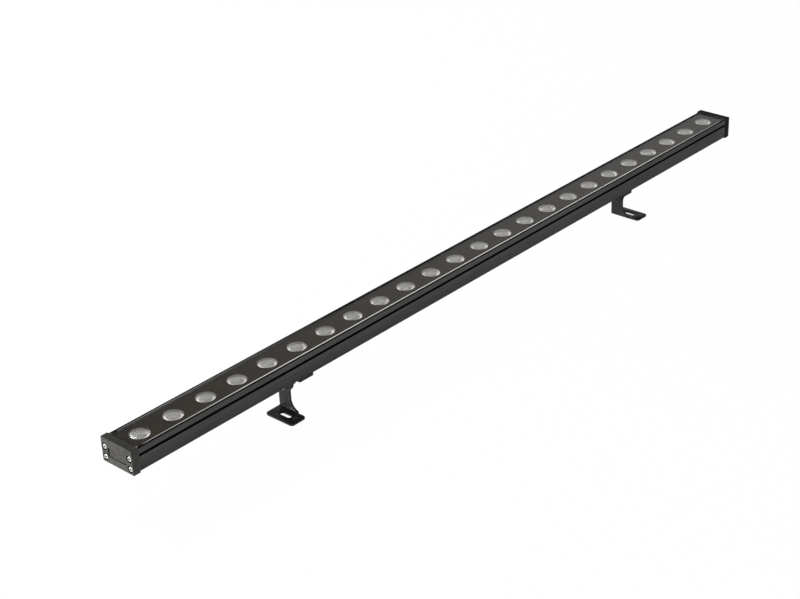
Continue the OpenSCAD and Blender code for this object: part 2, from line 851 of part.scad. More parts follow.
module lock_washer() {
    difference() {
        pivot_ring(lock_washer_x, lock_d, lock_t);
        translate([lock_washer_x - over, -lock_split / 2, pivot_h])
            cube([lock_t + 2 * over, lock_split, lock_d]);
    }
}

module pivot_nut() {
    translate([nut_x, 0, pivot_h]) along_x() difference() {
        cylinder(d = bolt_hex_d, h = bolt_nut_h, $fn = 6);
        translate([0, 0, -over]) cylinder(d = bolt_d + 2 * fit, h = bolt_nut_h + 2 * over);
    }
}

module left_clamp() {
    color(black) at_bracket(-1) clamp();
}

module left_slot_nut() {
    color(steel) at_bracket(-1) slot_nut();
}

module left_clamp_screws() {
    color(steel) at_bracket(-1) clamp_screws();
}

module left_pivot_bolt() {
    color(steel) at_bracket(-1) pivot_bolt();
}

module left_flat_washer() {
    color(steel) at_bracket(-1) flat_washer();
}

module left_lock_washer() {
    color(steel) at_bracket(-1) lock_washer();
}

module left_pivot_nut() {
    color(steel) at_bracket(-1) pivot_nut();
}

module left_foot() {
    color(black) at_bracket(-1) foot();
}

module right_clamp() {
    color(black) at_bracket(1) clamp();
}

module right_slot_nut() {
    color(steel) at_bracket(1) slot_nut();
}

module right_clamp_screws() {
    color(steel) at_bracket(1) clamp_screws();
}

module right_pivot_bolt() {
    color(steel) at_bracket(1) pivot_bolt();
}

module right_flat_washer() {
    color(steel) at_bracket(1) flat_washer();
}

module right_lock_washer() {
    color(steel) at_bracket(1) lock_washer();
}

module right_pivot_nut() {
    color(steel) at_bracket(1) pivot_nut();
}

module right_foot() {
    color(black) at_bracket(1) foot();
}

housing();
mask_film();
glass_cover();
glass_seals();
lenses();
lens_holders();
leds();
circuit_boards();
thermal_pads();
board_screws();
driver_chips();
inductors();
board_links();
input_terminal();
left_end_cap();
left_end_gasket();
left_end_screws();
right_end_cap();
right_end_gasket();
right_end_screws();
gland_body();
gland_ring();
gland_seal();
gland_nut();
left_clamp();
left_slot_nut();
left_clamp_screws();
left_pivot_bolt();
left_flat_washer();
left_lock_washer();
left_pivot_nut();
left_foot();
right_clamp();
right_slot_nut();
right_clamp_screws();
right_pivot_bolt();
right_flat_washer();
right_lock_washer();
right_pivot_nut();
right_foot();
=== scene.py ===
"""Outdoor wall washer light: the looks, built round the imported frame. Run as a script."""

import json
import math

import bmesh
import bpy
from bpy.props import FloatProperty, FloatVectorProperty, IntProperty, PointerProperty
from mathutils import Matrix, Vector

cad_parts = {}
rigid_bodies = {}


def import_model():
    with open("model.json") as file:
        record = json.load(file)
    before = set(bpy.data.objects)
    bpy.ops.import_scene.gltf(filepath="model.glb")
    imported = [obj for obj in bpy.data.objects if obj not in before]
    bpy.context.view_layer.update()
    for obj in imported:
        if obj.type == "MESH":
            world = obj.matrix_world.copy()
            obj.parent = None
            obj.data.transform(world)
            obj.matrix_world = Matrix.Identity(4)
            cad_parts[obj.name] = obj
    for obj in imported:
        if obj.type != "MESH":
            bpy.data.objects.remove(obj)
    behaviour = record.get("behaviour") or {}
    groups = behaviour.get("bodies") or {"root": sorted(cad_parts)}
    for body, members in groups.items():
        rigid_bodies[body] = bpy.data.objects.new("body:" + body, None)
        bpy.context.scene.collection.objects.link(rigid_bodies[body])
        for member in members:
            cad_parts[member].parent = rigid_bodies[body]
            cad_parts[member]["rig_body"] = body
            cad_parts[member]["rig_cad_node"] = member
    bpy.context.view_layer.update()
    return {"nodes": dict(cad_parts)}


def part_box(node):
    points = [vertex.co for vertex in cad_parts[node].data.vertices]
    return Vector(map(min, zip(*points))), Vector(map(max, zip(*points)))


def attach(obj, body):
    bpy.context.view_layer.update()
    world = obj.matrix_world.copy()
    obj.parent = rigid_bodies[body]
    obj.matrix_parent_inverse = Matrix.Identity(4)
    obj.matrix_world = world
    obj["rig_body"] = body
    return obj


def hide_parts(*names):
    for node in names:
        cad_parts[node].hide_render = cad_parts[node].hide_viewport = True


bl_info = {
    "name": "Wall washer light",
    "version": (1, 0, 0),
    "blender": (4, 5, 0),
    "location": "View3D > Sidebar > Wall washer",
    "description": "Finishes and fine pieces of an outdoor wall washer light",
    "category": "Object",
}

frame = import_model()

MM = 0.001
SIDES = ("left", "right")
# Turns that lay a piece modelled along Z along the bar
ALONG_X = (math.pi / 2, 0, math.pi / 2)
ALONG_MINUS_X = (math.pi / 2, 0, -math.pi / 2)

# The bar and its row of lights
BAR_LOW, BAR_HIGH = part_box("housing")
BAR_X = (BAR_LOW.x + BAR_HIGH.x) / 2
BAR_Y = (BAR_LOW.y + BAR_HIGH.y) / 2
BAR_HALF = (BAR_HIGH.x - BAR_LOW.x) / 2
LIGHTS = 24
PITCH = 41 * MM
FIRST_LIGHT = BAR_X - (LIGHTS - 1) / 2 * PITCH

# A lens from its axis outwards: frosted middle, bright ring, rim
OPTIC_R = 7.2 * MM
RING_R = 9.62 * MM
LENS_R = 11 * MM

# The groove along each side of the housing, which gets painted shade: its middle, half its height
# and its depth
GROOVE_Z = BAR_HIGH.z - 7.25 * MM
GROOVE_BAND = 1.5 * MM
GROOVE_DEPTH = 1.5 * MM

# The sunk panel of an end cap: how far it sits below the middle, half its width and height
PANEL_DROP = 0.5 * MM
PANEL_HALF_Y = 12.95 * MM
PANEL_HALF_Z = 5.15 * MM
PANEL_DEPTH = 1.2 * MM

# End screws, in mm, and their counterbores with the flare of the rim
SCREW_HEAD_D, SCREW_HEAD_H, SCREW_D, SCREW_SOCKET = 5.5, 3.0, 3.0, 2.9
KNURL_DEPTH = 0.12
HEAD_R = SCREW_HEAD_D / 2 * MM
BORE_R = 3.25 * MM
BORE_FLARE = 0.5 * MM

# Cable gland, in mm: across the corners, bore, thread, height of the flange, the cable's hole
GLAND_CORNERS, GLAND_BORE_R, GLAND_THREAD_R, FLANGE_H, CABLE_R = 16.2, 2.9, 6, 3, 2.6

# Pivot hardware, in mm: across the corners, head height, bolt, and the bore of nut and washers
BOLT_CORNERS, BOLT_HEAD_H, BOLT_D = 11.0, 4.0, 6.0
PIVOT_BORE_R = 3.05

# The part of a normal along an axis from which a face counts as facing that way
FACING = 0.9
# How near to a surface a face or a vertex counts as lying on it
SKIN = 0.1 * MM


# Property groups: what a user would change

class WasherColours(bpy.types.PropertyGroup):
    anodised: FloatVectorProperty(
        name="Anodised housing", description="Black of the extruded housing",
        subtype="COLOR", default=(0.037, 0.0365, 0.035), min=0, max=1)
    cap: FloatVectorProperty(
        name="End caps", description="Coated black of the cast end caps",
        subtype="COLOR", default=(0.030, 0.029, 0.0265), min=0, max=1)
    powder: FloatVectorProperty(
        name="Powder coat", description="Black of the feet",
        subtype="COLOR", default=(0.007, 0.007, 0.0067), min=0, max=1)
    clamp: FloatVectorProperty(
        name="Clamps", description="Black of the clamps, washers and nuts",
        subtype="COLOR", default=(0.011, 0.011, 0.011), min=0, max=1)
    ink: FloatVectorProperty(
        name="Printed band", description="Black ink printed on the glass",
        subtype="COLOR", default=(0.013, 0.0085, 0.0035), min=0, max=1)
    ground_edge: FloatVectorProperty(
        name="Ground glass edge", description="Pale edge where the glass is ground",
        subtype="COLOR", default=(0.95, 0.96, 0.93), min=0, max=1)
    optic: FloatVectorProperty(
        name="Lens middle", description="Frosted middle of a lens",
        subtype="COLOR", default=(0.21, 0.205, 0.193), min=0, max=1)
    optic_ring: FloatVectorProperty(
        name="Lens ring", description="Bright sloping ring of a lens",
        subtype="COLOR", default=(0.82, 0.81, 0.78), min=0, max=1)
    steel: FloatVectorProperty(
        name="Stainless steel", description="Screws, bolts, nuts and washers",
        subtype="COLOR", default=(0.72, 0.72, 0.71), min=0, max=1)


class WasherSizes(bpy.types.PropertyGroup):
    sheet_edge: FloatProperty(
        name="Sheet edge", description="Rounding of the edges of clamps and feet",
        unit="LENGTH", default=0.3 * MM, min=0.05 * MM, max=0.6 * MM)
    cap_edge: FloatProperty(
        name="Cap edge", description="Rounding of the edges of the end caps",
        unit="LENGTH", default=0.14 * MM, min=0.05 * MM, max=0.3 * MM)
    pane_edge: FloatProperty(
        name="Pane edge", description="Width of the ground border of the glass",
        unit="LENGTH", default=0.85 * MM, min=0.1 * MM, max=0.88 * MM)
    pane_fall: FloatProperty(
        name="Pane edge fall", description="How far the ground border slopes down",
        unit="LENGTH", default=0.4 * MM, min=0.05 * MM, max=1.0 * MM)
    thread_pitch: FloatProperty(
        name="Bolt thread pitch", description="Rise of the pivot bolts' thread in one turn",
        unit="LENGTH", default=1.0 * MM, min=0.5 * MM, max=1.25 * MM)
    knurls: IntProperty(
        name="Knurls", description="Grooves round the head of an end screw",
        default=30, min=12, max=48)


class WasherStage(bpy.types.PropertyGroup):
    floor: FloatVectorProperty(
        name="Floor", description="Colour of the floor",
        subtype="COLOR", default=(0.86, 0.86, 0.86), min=0, max=1)
    key_power: FloatProperty(
        name="Key light", description="Power of the low lamp before the blank end",
        unit="POWER", default=94, min=0, max=500)
    back_power: FloatProperty(
        name="Back light", description="Power of the high lamp behind the bar",
        unit="POWER", default=40, min=0, max=500)
    fill_power: FloatProperty(
        name="Fill light", description="Power of the low lamp before the bar",
        unit="POWER", default=20, min=0, max=500)
    sky: FloatProperty(
        name="Surroundings", description="Brightness of the white room round the light",
        default=0.43, min=0, max=2)
    horizon: FloatProperty(
        name="Horizon", description="Extra brightness of the room's lower part",
        default=0.24, min=0, max=1)


# Modelling helpers

def clear_selection():
    """Leaves edit mode and selects nothing."""
    if bpy.context.object and bpy.context.object.mode != "OBJECT":
        bpy.ops.object.mode_set(mode="OBJECT")
    bpy.ops.object.select_all(action="DESELECT")


def pick(obj):
    """Makes obj the only selected and active object."""
    clear_selection()
    obj.select_set(True)
    bpy.context.view_layer.objects.active = obj
    return obj


def settle(obj, place=(0, 0, 0), turn=(0, 0, 0)):
    """Puts obj at a place and works that into its mesh."""
    pick(obj)
    obj.location = place
    obj.rotation_euler = turn
    bpy.ops.object.transform_apply(location=True, rotation=True, scale=True)
    return obj


def block(name, low, high):
    """A box between two corners."""
    clear_selection()
    low, high = Vector(low), Vector(high)
    bpy.ops.mesh.primitive_cube_add(size=1, location=(low + high) / 2)
    obj = bpy.context.object
    obj.name = name
    obj.scale = high - low
    bpy.ops.object.transform_apply(location=True, rotation=True, scale=True)
    return obj


def turned(name, outline, segments=48, closed=False):
    """A turned piece: an outline of (radius, height) in mm, spun about Z."""
    clear_selection()
    bpy.ops.mesh.primitive_circle_add(vertices=len(outline), radius=1)
    obj = bpy.context.object
    obj.name = name
    for vertex, (radius, height) in zip(obj.data.vertices, outline):
        vertex.co = (radius * MM, 0, height * MM)
    bpy.ops.object.mode_set(mode="EDIT")
    if not closed:
        last = {0, len(outline) - 1}
        select_edges(obj, lambda a, b: {a.index, b.index} == last)
        bpy.ops.mesh.delete(type="EDGE_FACE")
    bpy.ops.mesh.select_all(action="SELECT")
    bpy.ops.mesh.spin(steps=segments, angle=2 * math.pi, center=(0, 0, 0), axis=(0, 0, 1))
    bpy.ops.mesh.select_all(action="SELECT")
    bpy.ops.mesh.remove_doubles(threshold=0.002 * MM)
    bpy.ops.mesh.normals_make_consistent(inside=False)
    bpy.ops.object.mode_set(mode="OBJECT")
    return obj


def select_edges(obj, test):
    """Selects the edges whose two vertices pass the test, in edit mode."""
    bpy.ops.mesh.select_mode(type="EDGE")
    bpy.ops.mesh.select_all(action="DESELECT")
    mesh = bmesh.from_edit_mesh(obj.data)
    mesh.verts.index_update()
    for edge in mesh.edges:
        if test(*edge.verts):
            edge.select = True
    bmesh.update_edit_mesh(obj.data)


def select_faces(obj, test):
    """Selects the faces that pass the test, in edit mode."""
    bpy.ops.mesh.select_mode(type="FACE")
    bpy.ops.mesh.select_all(action="DESELECT")
    mesh = bmesh.from_edit_mesh(obj.data)
    mesh.normal_update()
    for face in mesh.faces:
        if test(face):
            face.select = True
    bmesh.update_edit_mesh(obj.data)


def bevel_edges(obj, test, width):
    """Bevels the edges whose two vertices pass the test."""
    pick(obj)
    bpy.ops.object.mode_set(mode="EDIT")
    select_edges(obj, test)
    bpy.ops.mesh.bevel(offset=width, segments=1, profile=0.5)
    bpy.ops.object.mode_set(mode="OBJECT")
    return obj


def hexagon(name, across_corners, low, high):
    """A hexagonal prism along Z with corners on its X axis, sizes in mm."""
    clear_selection()
    bpy.ops.mesh.primitive_cylinder_add(
        vertices=6, radius=across_corners / 2 * MM, depth=(high - low) * MM,
        location=(0, 0, (high + low) / 2 * MM), rotation=(0, 0, math.pi / 2))
    obj = bpy.context.object
    obj.name = name
    bpy.ops.object.transform_apply(location=True, rotation=True, scale=True)
    return obj


def combine(obj, tool, operation):
    """Applies a boolean with a second solid, which is used up."""
    pick(obj)
    modifier = obj.modifiers.new("combine", "BOOLEAN")
    modifier.operation = operation
    modifier.solver = "EXACT"
    modifier.object = tool
    bpy.ops.object.modifier_apply(modifier=modifier.name)
    pick(tool)
    bpy.ops.object.delete()
    return pick(obj)


def repeated(obj, count, step):
    """Repeats the mesh of obj in a row."""
    pick(obj)
    modifier = obj.modifiers.new("row", "ARRAY")
    modifier.count = count
    modifier.use_relative_offset = False
    modifier.use_constant_offset = True
    modifier.constant_offset_displace = step
    bpy.ops.object.modifier_apply(modifier=modifier.name)
    return obj


def softened(obj, width, segments, angle):
    """Rounds the edges of obj that are sharper than an angle in degrees."""
    pick(obj)
    modifier = obj.modifiers.new("edge", "BEVEL")
    modifier.width = width
    modifier.segments = segments
    modifier.limit_method = "ANGLE"
    modifier.angle_limit = math.radians(angle)
    bpy.ops.object.modifier_apply(modifier=modifier.name)
    return obj


def copy_of(obj, name):
    """A copy with its own mesh."""
    pick(obj)
    bpy.ops.object.duplicate(linked=False)
    copy = bpy.context.object
    copy.name = name
    return copy


def joined(*objs):
    """Joins pieces into the first one."""
    pick(objs[0])
    for obj in objs:
        obj.select_set(True)
    bpy.ops.object.join()
    return bpy.context.object


def traced(node, name):
    """A merged copy of a CAD node's mesh, to be finished by hand."""
    source = frame["nodes"][node]
    clear_selection()
    hidden = source.hide_viewport
    source.hide_viewport = False
    source.select_set(True)
    bpy.context.view_layer.objects.active = source
    bpy.ops.object.duplicate(linked=False)
    obj = bpy.context.object
    source.hide_viewport = hidden
    obj.name = name
    obj.parent = None
    obj.data.materials.clear()
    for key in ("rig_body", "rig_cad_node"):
        del obj[key]
    bpy.ops.object.mode_set(mode="EDIT")
    bpy.ops.mesh.select_mode(type="VERT")
    bpy.ops.mesh.select_all(action="SELECT")
    bpy.ops.mesh.remove_doubles(threshold=0.001 * MM)
    bpy.ops.mesh.select_all(action="SELECT")
    bpy.ops.mesh.dissolve_limited(angle_limit=math.radians(0.5))
    bpy.ops.object.mode_set(mode="OBJECT")
    return obj


def half_turn(obj):
    """Turns obj half round about the bar's own vertical axis."""
    return settle(obj, (2 * BAR_X, 2 * BAR_Y, 0), (0, 0, math.pi))


def kept(obj, body, materials, nodes, smooth=32):
    """Gives a finished piece its materials and body, and hides the CAD nodes it stands in for."""
    pick(obj)
    bpy.ops.object.shade_smooth_by_angle(angle=math.radians(smooth))
    if len(obj.data.materials) == 0 or obj.data.materials[0] is None:
        obj.data.materials.clear()
        for material in materials:
            obj.data.materials.append(material)
    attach(obj, body)
    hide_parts(*nodes)
    return obj


# Materials

# Sockets of a Mix node for colours
MIX_A, MIX_B, MIX_RESULT = 6, 7, 2
# Stretch of noise into streaks, fine grain and patches along the extrusion
STREAKS, GRAIN, PATCHES = (0.02, 1, 1), (0.25, 1, 1), (0.2, 1, 1)
# The way across a lens, in X and Y, along which painted shade dims its ring
SHADE_WAY = (0.79, 0.61)


def shade(colour, factor):
    """A darker or lighter tone of a colour."""
    return tuple(min(1.0, part * factor) for part in colour)


def grey(value):
    """A neutral tone."""
    return (value, value, value)


class Shader:
    """A node material in the making, with its Principled shader and coordinates."""

    def __init__(self, name, roughness, metallic=0.0, ior=1.5):
        self.material = bpy.data.materials.new(name)
        self.material.use_nodes = True
        self.tree = self.material.node_tree
        self.principled = self.tree.nodes["Principled BSDF"]
        self.set(self.principled, Roughness=roughness, Metallic=metallic, IOR=ior)
        self.coordinates = self.node("ShaderNodeTexCoord").outputs["Object"]

    def node(self, kind, **values):
        """A new node with some of its settings."""
        made = self.tree.nodes.new(kind)
        for key, value in values.items():
            setattr(made, key, value)
        return made

    def set(self, node, **values):
        """Sets sockets of a node; an underscore stands for a space."""
        for key, value in values.items():
            node.inputs[key.replace("_", " ")].default_value = value

    def link(self, output, target):
        """Links two sockets."""
        self.tree.links.new(output, target)

    def place(self):
        """The X, Y and Z of a point of the piece."""
        parts = self.node("ShaderNodeSeparateXYZ")
        self.link(self.coordinates, parts.inputs["Vector"])
        return parts.outputs

    def math(self, operation, *values):
        """A Math node on sockets and numbers."""
        made = self.node("ShaderNodeMath", operation=operation)
        for value, target in zip(values, made.inputs):
            if isinstance(value, bpy.types.NodeSocket):
                self.link(value, target)
            else:
                target.default_value = value
        return made.outputs[0]

    def noise(self, scale, detail=2.0, stretch=(1, 1, 1)):
        """Noise in features per metre, stretched along the axes."""
        mapping = self.node("ShaderNodeMapping")
        self.set(mapping, Scale=stretch)
        self.link(self.coordinates, mapping.inputs["Vector"])
        noise = self.node("ShaderNodeTexNoise")
        self.set(noise, Scale=scale, Detail=detail)
        self.link(mapping.outputs["Vector"], noise.inputs["Vector"])
        return noise.outputs["Fac"]

    def ramp(self, value, low, high, start=0.35, end=0.65):
        """Maps a value to the range from low to high, as it goes from start to end."""
        mapped = self.node("ShaderNodeMapRange")
        self.set(mapped, From_Min=start, From_Max=end, To_Min=low, To_Max=high)
        self.link(value, mapped.inputs["Value"])
        return mapped.outputs["Result"]

    def tones(self, value, dark, light):
        """Mixes two colours by a noise value into the base colour."""
        mix = self.node("ShaderNodeMix", data_type="RGBA")
        self.link(self.ramp(value, 0, 1), mix.inputs["Factor"])
        mix.inputs[MIX_A].default_value = (*dark, 1)
        mix.inputs[MIX_B].default_value = (*light, 1)
        self.link(mix.outputs[MIX_RESULT], self.principled.inputs["Base Color"])

    def cover(self, factor, colour, blend="MIX"):
        """Blends a colour over the base colour, by a factor that may pass 1."""
        base = self.principled.inputs["Base Color"]
        mix = self.node("ShaderNodeMix", data_type="RGBA", blend_type=blend, clamp_factor=False)
        self.link(factor, mix.inputs["Factor"])
        self.link(base.links[0].from_socket, mix.inputs[MIX_A])
        mix.inputs[MIX_B].default_value = (*colour, 1)
        self.link(mix.outputs[MIX_RESULT], base)

    def bump(self, value, depth, strength=1.0):
        """Raises the surface by a noise value."""
        bump = self.node("ShaderNodeBump")
        self.set(bump, Distance=depth, Strength=strength)
        self.link(value, bump.inputs["Height"])
        self.link(bump.outputs["Normal"], self.principled.inputs["Normal"])

    def roughness(self, value, low, high):
        """Varies the roughness by a noise value."""
        self.link(self.ramp(value, low, high), self.principled.inputs["Roughness"])

    def surface(self, share, shader):
        """Lets a second shader take a share of the surface."""
        mix = self.node("ShaderNodeMixShader")
        self.link(share, mix.inputs["Fac"])
        self.link(self.principled.outputs["BSDF"], mix.inputs[1])
        self.link(shader, mix.inputs[2])
        self.link(mix.outputs["Shader"], self.tree.nodes["Material Output"].inputs["Surface"])


def anodised_black(colour):
    """Satin black, with painted shade that makes it a little darker towards the bottom and the
    far end of the bar.
    """
    s = Shader("anodised_black", roughness=0.45, ior=1.25)
    s.tones(s.noise(900, 3, STREAKS), shade(colour, 0.8), shade(colour, 1.25))
    place = s.place()
    # Painted shade: darker towards the bottom and towards the far end of the bar
    lower = s.ramp(place["Z"], 1, 0, BAR_LOW.z, BAR_HIGH.z - 8 * MM)
    far = s.ramp(place["X"], 0, 1, BAR_X + 60 * MM, BAR_HIGH.x - 60 * MM)
    s.cover(s.math("ADD", lower, far), grey(0.6), "MULTIPLY")
    s.roughness(s.noise(60, 3, PATCHES), low=0.36, high=0.5)
    s.bump(s.noise(2600, 2, GRAIN), depth=0.01 * MM, strength=0.5)
    return s.material


def powder_black(colour, name="powder_black", ior=1.2, rough=0.45):
    """Powder coat: a fine orange peel and an uneven gloss."""
    s = Shader(name, rough, ior=ior)
    s.tones(s.noise(260, 4), shade(colour, 0.8), shade(colour, 1.2))
    s.roughness(s.noise(700, 2), low=rough - 0.07, high=rough + 0.07)
    s.bump(s.noise(1900, 3), depth=0.03 * MM, strength=0.7)
    return s.material


def printed_ink(colour):
    """Black ink, printed smooth on the underside of the glass."""
    s = Shader("printed_ink", roughness=0.16, ior=1.12)
    s.tones(s.noise(35, 4), shade(colour, 0.85), shade(colour, 1.2))
    s.roughness(s.noise(90, 2), low=0.14, high=0.2)
    s.bump(s.noise(4000, 1), depth=0.002 * MM, strength=0.15)
    return s.material


def clear_glass():
    """Glass that bends the view and lets the lamps' light straight through."""
    s = Shader("clear_glass", roughness=0.0, ior=1.36)
    s.set(s.principled, Base_Color=(1, 1, 1, 1), Transmission_Weight=1.0)
    open_way = s.node("ShaderNodeBsdfTransparent")
    s.set(open_way, Color=(0.96, 0.96, 0.95, 1))
    path = s.node("ShaderNodeLightPath")
    s.surface(path.outputs["Is Shadow Ray"], open_way.outputs["BSDF"])
    return s.material


def deep_black():
    """Painted shade: near-black for the sunk places of the housing and the caps, standing in for
    the shade that falls there.
    """
    s = Shader("deep_black", roughness=0.8, ior=1.05)
    s.tones(s.noise(900, 3, STREAKS), grey(0.0012), grey(0.0025))
    s.bump(s.noise(2600, 2, GRAIN), depth=0.01 * MM, strength=0.5)
    return s.material


def ground_glass(colour, name="ground_glass", back_shade_start=1.0):
    """Pale ground border, black at both ends, with painted shade along the back from
    back_shade_start on and over the front towards the far end.
    """
    s = Shader(name, roughness=0.55, ior=1.3)
    s.tones(s.noise(3000), shade(colour, 0.9), shade(colour, 1.05))
    s.bump(s.noise(6000), depth=0.01 * MM, strength=0.5)
    place = s.place()
    x = s.math("SUBTRACT", place["X"], BAR_X)
    y = s.math("SUBTRACT", place["Y"], BAR_Y)
    along = s.math("ABSOLUTE", x)
    across = s.math("ABSOLUTE", y)
    # Black towards both ends, but for the outermost corners
    near_end = s.ramp(along, 0, 1, BAR_HALF - 16 * MM, BAR_HALF - 7 * MM)
    short_of_end = s.ramp(along, 1, 0, BAR_HALF - 2.2 * MM, BAR_HALF - 1.2 * MM)
    between_sides = s.ramp(across, 1, 0, 16 * MM, 17.2 * MM)
    ends = s.math("MULTIPLY", near_end, s.math("MAXIMUM", short_of_end, between_sides))
    # Painted shade along the back, which fades in from back_shade_start at the blank end
    back = s.ramp(y, 0, 1, 0, 2 * MM)
    fade = s.ramp(x, back_shade_start, 1, -BAR_HALF + 30 * MM, -BAR_HALF + 300 * MM)
    rear = s.math("MULTIPLY", back, fade)
    # Painted shade: the front line darkens over the last lights
    faint = s.ramp(along, 0, 0.6, BAR_HALF - 190 * MM, BAR_HALF - 10 * MM)
    s.cover(s.math("MAXIMUM", s.math("MAXIMUM", ends, faint), rear), grey(0.008))
    return s.material


def lens_optic(colour, name="lens_optic", far=1.0):
    """Frosted part of a lens, moulded with fine beads, its far side dimmed to a share by painted
    shade.
    """
    s = Shader(name, roughness=0.3)
    s.tones(s.noise(420, 3), shade(colour, 0.8), shade(colour, 1.2))
    place = s.place()
    # Painted shade on the far side of each lens, down to the share far
    x = s.math("WRAP", place["X"], FIRST_LIGHT + PITCH / 2, FIRST_LIGHT - PITCH / 2)
    level = s.math("ADD", *(
        s.ramp(value, -way, way, middle - LENS_R, middle + LENS_R)
        for value, way, middle in zip((x, place["Y"]), SHADE_WAY, (FIRST_LIGHT, BAR_Y))))
    s.cover(s.ramp(level, 0, 1, -0.1, 0.6), grey(far), "MULTIPLY")
    beads = s.node("ShaderNodeTexVoronoi", feature="SMOOTH_F1")
    s.set(beads, Scale=1100)
    s.link(s.coordinates, beads.inputs["Vector"])
    s.bump(beads.outputs["Distance"], depth=0.12 * MM, strength=0.6)
    s.set(s.principled, Coat_Weight=0.05, Coat_Roughness=0.08)
    return s.material


def lens_rim():
    """Moulded rim of a lens, over its holder."""
    s = Shader("lens_rim", roughness=0.2)
    s.tones(s.noise(500, 3), (0.15, 0.145, 0.135), (0.22, 0.215, 0.2))
    s.bump(s.noise(3000), depth=0.01 * MM, strength=0.4)
    return s.material


def turned_metal(name, colour, low, high):
    """Bare or plated metal with turning marks, between two roughnesses."""
    s = Shader(name, roughness=0.28, metallic=1.0)
    s.tones(s.noise(1500, 3), shade(colour, 0.88), shade(colour, 1.08))
    s.roughness(s.noise(800, 3), low, high)
    s.bump(s.noise(5000, 2, (1, 0.3, 1)), depth=0.004 * MM, strength=0.5)
    return s.material


def plain_finish(name, dark, light, roughness):
    """A moulded or coated finish: two tones and a fine grain."""
    s = Shader(name, roughness)
    s.tones(s.noise(600, 3), dark, light)
    s.bump(s.noise(3000), depth=0.02 * MM, strength=0.6)
    return s.material


# Metals: material name, colour, lowest and highest roughness
METALS = {
    "bright_steel": ("bright_steel", (0.93, 0.93, 0.92), 0.16, 0.26),
    # The socket and rim steels are darker tones that paint shade on the screw heads
    "socket_steel": ("socket_steel", grey(0.3), 0.3, 0.45),
    "knurl_shade_steel": ("shaded_steel", grey(0.06), 0.35, 0.5),
    "nickel": ("nickel_plate", (0.66, 0.64, 0.6), 0.24, 0.4),
}
# Plain finishes: material name, dark tone, light tone, roughness
PLAIN = {
    "rubber": ("rubber", grey(0.012), grey(0.022), 0.7),
    "holder": ("holder_white", (0.62, 0.62, 0.6), (0.74, 0.74, 0.72), 0.55),
    "board": ("board_white", (0.7, 0.71, 0.68), (0.82, 0.82, 0.8), 0.45),
    "pad": ("heat_pad", (0.36, 0.42, 0.48), (0.46, 0.52, 0.58), 0.85),
    "phosphor": ("phosphor", (0.78, 0.62, 0.16), (0.86, 0.72, 0.24), 0.3),
    "chip": ("chip_black", grey(0.018), grey(0.03), 0.6),
    "ferrite": ("ferrite", grey(0.05), (0.09, 0.085, 0.08), 0.7),
    "wire": ("wire_red", (0.42, 0.02, 0.015), (0.55, 0.04, 0.02), 0.4),
    "terminal": ("terminal_green", (0.03, 0.22, 0.07), (0.05, 0.3, 0.1), 0.5),
}
# The finish of each CAD node that stays as it is
STAYING = {
    "mask_film": "ink", "glass_seals": "silicone",
    "lens_holders": "holder", "leds": "phosphor", "circuit_boards": "board",
    "thermal_pads": "pad", "board_screws": "steel", "driver_chips": "chip",
    "inductors": "ferrite", "board_links": "wire", "input_terminal": "terminal",
    "left_end_gasket": "rubber", "right_end_gasket": "rubber", "gland_ring": "rubber",
    "left_slot_nut": "steel", "right_slot_nut": "steel",
}
# The finishes that are made, by the names above
FINISHES = {}


class WASHER_OT_finishes(bpy.types.Operator):
    """Makes the finishes and puts them on the CAD nodes that stay"""
    bl_idname = "washer.finishes"
    bl_label = "Finishes"

    def execute(self, context):
        colours = context.scene.washer_colours
        made = FINISHES
        made["anodised"] = anodised_black(colours.anodised)
        # Near-black that paints shade into sunk places
        made["deep"] = deep_black()
        made["powder"] = powder_black(colours.powder, ior=1.26, rough=0.3)
        made["cap"] = powder_black(colours.cap, "powder_cap")
        # A much darker copy of the caps' coat: painted shade for the cap at the far end
        made["far_cap"] = powder_black(shade(colours.cap, 0.12), "powder_far_cap", ior=1.12)
        made["sheet"] = powder_black(colours.clamp, "powder_clamp")
        made["ink"] = printed_ink(colours.ink)
        made["glass"] = clear_glass()
        # Both ground borders carry painted shade along the back and towards the far end
        made["ground"] = ground_glass(colours.ground_edge)
        made["silicone"] = ground_glass(shade(colours.ground_edge, 0.75), "silicone", 0.3)
        made["optic"] = lens_optic(colours.optic)
        # The ring's far side is dimmed by painted shade
        made["ring"] = lens_optic(colours.optic_ring, "lens_ring", far=0.42)
        made["rim"] = lens_rim()
        made["steel"] = turned_metal("turned_steel", colours.steel, 0.2, 0.34)
        for key, values in METALS.items():
            made[key] = turned_metal(*values)
        for key, values in PLAIN.items():
            made[key] = plain_finish(*values)
        for node, finish in STAYING.items():
            mesh = frame["nodes"][node].data
            mesh.materials.clear()
            mesh.materials.append(made[finish])
        return {"FINISHED"}


class WASHER_OT_extrusion(bpy.types.Operator):
    """Finishes the extruded housing, with painted shade in its side grooves"""
    bl_idname = "washer.extrusion"
    bl_label = "Extrusion"

    def execute(self, context):
        low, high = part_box("housing")
        housing = traced("housing", "extruded_housing")
        housing.data.materials.append(FINISHES["anodised"])
        housing.data.materials.append(FINISHES["deep"])
        half = (high.y - low.y) / 2
        pick(housing)
        bpy.ops.object.mode_set(mode="EDIT")
        for step in (-GROOVE_BAND, GROOVE_BAND):
            bpy.ops.mesh.select_all(action="SELECT")
            bpy.ops.mesh.bisect(plane_co=(0, 0, GROOVE_Z + step), plane_no=(0, 0, 1))
        bpy.ops.object.mode_set(mode="OBJECT")
        # Painted shade: the faces in the side grooves get the near-black, and so does the top
        # face of the housing
        for face in housing.data.polygons:
            reach = abs(face.center.y - BAR_Y)
            level = abs(face.center.z - GROOVE_Z)
            by_groove = reach > half - GROOVE_DEPTH and level < GROOVE_BAND
            on_top = high.z - face.center.z < SKIN / 2
            face.material_index = 1 if by_groove or on_top else 0
        kept(housing, "lamp", [], ["housing"])
        return {"FINISHED"}


